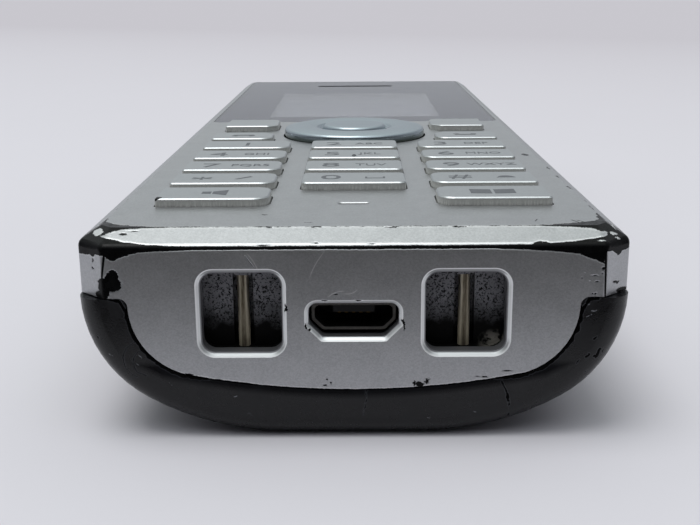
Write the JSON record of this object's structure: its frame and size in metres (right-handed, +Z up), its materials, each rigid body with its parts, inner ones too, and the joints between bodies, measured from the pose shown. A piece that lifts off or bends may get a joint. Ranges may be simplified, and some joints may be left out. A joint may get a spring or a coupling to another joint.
{
  "type": "cordless wi-fi phone handset",
  "caption": "Slim bar handset with a silver key plate, rocker ring, long dark display window, black boat-shaped back, charging windows and micro-USB socket in its end.",
  "frame": {"origin": "on the table plane, under the centre of the handset's length and width", "axes": "+Z up out of the key plate, +Y along the handset from the charging end to the earpiece, +X to the right as seen by a user at the charging end"},
  "size_m": [0.0486, 0.145, 0.0205],
  "materials": {
    "silver_paint": "silver metallic paint over moulded black ABS",
    "key_paint": "silver metallic paint over a moulded key cap, grey printed marks",
    "nav_paint": "silver metallic paint with a bright turned rim",
    "black_abs": "moulded ABS with a soft satin surface",
    "holder_abs": "moulded glass-filled nylon, fine spark texture",
    "window_acrylic": "clear acrylic, printed dark on its back face",
    "display_glass": "unlit display cell",
    "backlight_acrylic": "light guide",
    "white_moulding": "white moulded polycarbonate",
    "foam": "black foam",
    "steel_mesh": "fine black-coated steel mesh",
    "speaker_cloth": "woven polyester",
    "sound_unit": "pressed steel can",
    "silicone": "moulded silicone",
    "dome_steel": "stainless domes on polyester film",
    "circuit_board": "green solder mask on glass-epoxy board",
    "chip_resin": "moulded epoxy",
    "tinned_steel": "tin-plated steel",
    "nickel_contact": "nickel-plated brass wire",
    "gold_contact": "gold flash over spring bronze",
    "battery_can": "aluminium cell in a plain film wrap",
    "screw_steel": "black zinc-plated steel"
  },
  "bodies": {
    "root": {"antenna_carrier": "white_moulding", "antenna_track": "gold_contact", "battery_connector": "holder_abs", "battery_pack": "battery_can", "battery_terminals": "gold_contact", "board_chips": "chip_resin", "board_screws": "screw_steel", "case_screws": "screw_steel", "charge_contact_left": "nickel_contact", "charge_contact_right": "nickel_contact", "contact_holder": "holder_abs", "display_backlight": "backlight_acrylic", "display_frame": "white_moulding", "display_gasket": "foam", "display_glass": "display_glass", "display_window": "window_acrylic", "dome_sheet": "dome_steel", "earpiece_foam": "foam", "earpiece_mesh": "steel_mesh", "earpiece_receiver": "sound_unit", "front_shell": "silver_paint", "keypad_mat": "silicone", "loudspeaker": "sound_unit", "loudspeaker_cloth": "speaker_cloth", "loudspeaker_foam": "foam", "main_board": "circuit_board", "microphone": "sound_unit", "microphone_boot": "silicone", "rear_shell": "black_abs", "shield_can": "tinned_steel", "usb_contacts": "gold_contact", "usb_shell": "tinned_steel", "usb_tongue": "holder_abs"},
    "battery_cover": {"battery_cover": "black_abs"},
    "key_0": {"key_0": "key_paint"},
    "key_1": {"key_1": "key_paint"},
    "key_2": {"key_2": "key_paint"},
    "key_3": {"key_3": "key_paint"},
    "key_4": {"key_4": "key_paint"},
    "key_5": {"key_5": "key_paint"},
    "key_6": {"key_6": "key_paint"},
    "key_7": {"key_7": "key_paint"},
    "key_8": {"key_8": "key_paint"},
    "key_9": {"key_9": "key_paint"},
    "key_directory": {"key_directory": "key_paint"},
    "key_handsfree": {"key_handsfree": "key_paint"},
    "key_hash": {"key_hash": "key_paint"},
    "key_off": {"key_off": "key_paint"},
    "key_soft_left": {"key_soft_left": "key_paint"},
    "key_soft_right": {"key_soft_right": "key_paint"},
    "key_star": {"key_star": "key_paint"},
    "key_talk": {"key_talk": "key_paint"},
    "nav_carrier": {"nav_carrier": "holder_abs"},
    "nav_centre": {"nav_centre": "nav_paint"},
    "nav_ring": {"nav_ring": "nav_paint"}
  },
  "joints": [
    {"name": "key_0_press", "type": "slide", "parent": "root", "child": "key_0", "axis": [0, 0, -1], "range_m": [0, 0.0004], "stiffness_N_per_m": 500},
    {"name": "key_1_press", "type": "slide", "parent": "root", "child": "key_1", "axis": [0, 0, -1], "range_m": [0, 0.0004], "stiffness_N_per_m": 500},
    {"name": "key_2_press", "type": "slide", "parent": "root", "child": "key_2", "axis": [0, 0, -1], "range_m": [0, 0.0004], "stiffness_N_per_m": 500},
    {"name": "key_3_press", "type": "slide", "parent": "root", "child": "key_3", "axis": [0, 0, -1], "range_m": [0, 0.0004], "stiffness_N_per_m": 500},
    {"name": "key_4_press", "type": "slide", "parent": "root", "child": "key_4", "axis": [0, 0, -1], "range_m": [0, 0.0004], "stiffness_N_per_m": 500},
    {"name": "key_5_press", "type": "slide", "parent": "root", "child": "key_5", "axis": [0, 0, -1], "range_m": [0, 0.0004], "stiffness_N_per_m": 500},
    {"name": "key_6_press", "type": "slide", "parent": "root", "child": "key_6", "axis": [0, 0, -1], "range_m": [0, 0.0004], "stiffness_N_per_m": 500},
    {"name": "key_7_press", "type": "slide", "parent": "root", "child": "key_7", "axis": [0, 0, -1], "range_m": [0, 0.0004], "stiffness_N_per_m": 500},
    {"name": "key_8_press", "type": "slide", "parent": "root", "child": "key_8", "axis": [0, 0, -1], "range_m": [0, 0.0004], "stiffness_N_per_m": 500},
    {"name": "key_9_press", "type": "slide", "parent": "root", "child": "key_9", "axis": [0, 0, -1], "range_m": [0, 0.0004], "stiffness_N_per_m": 500},
    {"name": "key_directory_press", "type": "slide", "parent": "root", "child": "key_directory", "axis": [0, 0, -1], "range_m": [0, 0.0004], "stiffness_N_per_m": 500},
    {"name": "key_handsfree_press", "type": "slide", "parent": "root", "child": "key_handsfree", "axis": [0, 0, -1], "range_m": [0, 0.0004], "stiffness_N_per_m": 500},
    {"name": "key_hash_press", "type": "slide", "parent": "root", "child": "key_hash", "axis": [0, 0, -1], "range_m": [0, 0.0004], "stiffness_N_per_m": 500},
    {"name": "key_off_press", "type": "slide", "parent": "root", "child": "key_off", "axis": [0, 0, -1], "range_m": [0, 0.0004], "stiffness_N_per_m": 500},
    {"name": "key_soft_left_press", "type": "slide", "parent": "root", "child": "key_soft_left", "axis": [0, 0, -1], "range_m": [0, 0.0004], "stiffness_N_per_m": 500},
    {"name": "key_soft_right_press", "type": "slide", "parent": "root", "child": "key_soft_right", "axis": [0, 0, -1], "range_m": [0, 0.0004], "stiffness_N_per_m": 500},
    {"name": "key_star_press", "type": "slide", "parent": "root", "child": "key_star", "axis": [0, 0, -1], "range_m": [0, 0.0004], "stiffness_N_per_m": 500},
    {"name": "key_talk_press", "type": "slide", "parent": "root", "child": "key_talk", "axis": [0, 0, -1], "range_m": [0, 0.0004], "stiffness_N_per_m": 500},
    {"name": "nav_centre_press", "type": "slide", "parent": "root", "child": "nav_centre", "axis": [0, 0, -1], "range_m": [0, 0.0004], "stiffness_N_per_m": 500},
    {"name": "nav_left_right", "type": "hinge", "parent": "root", "child": "nav_carrier", "pos_m": [0, -0.0128, 0.01545], "axis": [0, 1, 0], "range_deg": [-1.4, 1.4], "stiffness_Nm_per_rad": 0.06},
    {"name": "nav_up_down", "type": "hinge", "parent": "nav_carrier", "child": "nav_ring", "pos_m": [0, -0.0128, 0.01635], "axis": [1, 0, 0], "range_deg": [-1.4, 1.4], "stiffness_Nm_per_rad": 0.06},
    {"name": "battery_cover_hinge", "type": "hinge", "parent": "root", "child": "battery_cover", "pos_m": [0, 0.0251, 0.0002], "axis": [1, 0, 0], "range_deg": [0, 35]}
  ]
}
